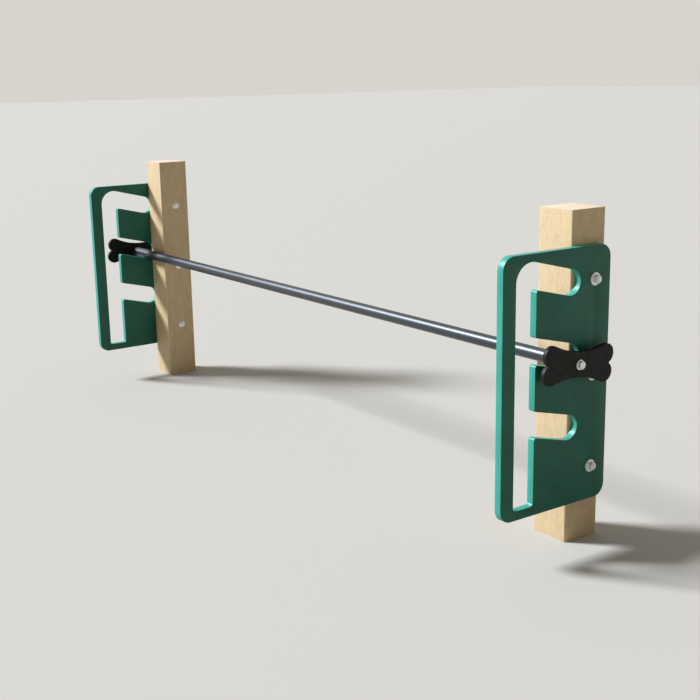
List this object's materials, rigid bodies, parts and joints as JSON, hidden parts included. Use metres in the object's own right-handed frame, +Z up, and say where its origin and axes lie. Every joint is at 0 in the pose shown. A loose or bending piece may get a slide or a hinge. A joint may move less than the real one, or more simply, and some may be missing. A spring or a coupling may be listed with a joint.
{
  "type": "adjustable dog agility jump",
  "caption": "Dog agility jump: a loose round bar with bone-shaped end stops rests across slotted height panels bolted to square posts.",
  "frame": {"origin": "on the ground, halfway between the two ends of the bar and halfway between the front and back of the panels", "axes": "+X along the bar to the right, +Y from the open side of the panels to the posts, +Z up"},
  "size_m": [1.9566, 0.278, 0.664],
  "materials": {
    "recycled_plastic": "matte, faint grain",
    "green_sheet": "satin, fine texture",
    "black_tube": "glossy powder coat",
    "bone_plastic": "coarse texture",
    "zinc": "zinc plated"
  },
  "bodies": {
    "stations": {"post_right": "recycled_plastic", "post_left": "recycled_plastic", "panel_right": "green_sheet", "panel_left": "green_sheet", "carriage_bolt_right_top": "zinc", "carriage_bolt_right_middle": "zinc", "carriage_bolt_right_bottom": "zinc", "carriage_bolt_left_top": "zinc", "carriage_bolt_left_middle": "zinc", "carriage_bolt_left_bottom": "zinc", "panel_washer_right_top": "zinc", "panel_washer_right_middle": "zinc", "panel_washer_right_bottom": "zinc", "panel_washer_left_top": "zinc", "panel_washer_left_middle": "zinc", "panel_washer_left_bottom": "zinc", "panel_nut_right_top": "zinc", "panel_nut_right_middle": "zinc", "panel_nut_right_bottom": "zinc", "panel_nut_left_top": "zinc", "panel_nut_left_middle": "zinc", "panel_nut_left_bottom": "zinc"},
    "bar": {"bar_tube": "black_tube", "bar_insert_right": "zinc", "bar_insert_left": "zinc", "bone_washer_right": "zinc", "bone_washer_left": "zinc", "bone_bolt_right": "zinc", "bone_bolt_left": "zinc"},
    "bone_right": {"bone_right": "bone_plastic"},
    "bone_left": {"bone_left": "bone_plastic"}
  },
  "joints": [
    {"name": "bar_slot_slide", "type": "slide", "parent": "stations", "child": "bar", "axis": [0, -0.9703, 0.2419], "range_m": [0, 0.13]},
    {"name": "bone_right_turn", "type": "hinge", "parent": "bar", "child": "bone_right", "pos_m": [0.965, 0.034, 0.37756], "axis": [1, 0, 0], "continuous": true},
    {"name": "bone_left_turn", "type": "hinge", "parent": "bar", "child": "bone_left", "pos_m": [-0.965, 0.034, 0.37756], "axis": [1, 0, 0], "continuous": true}
  ]
}
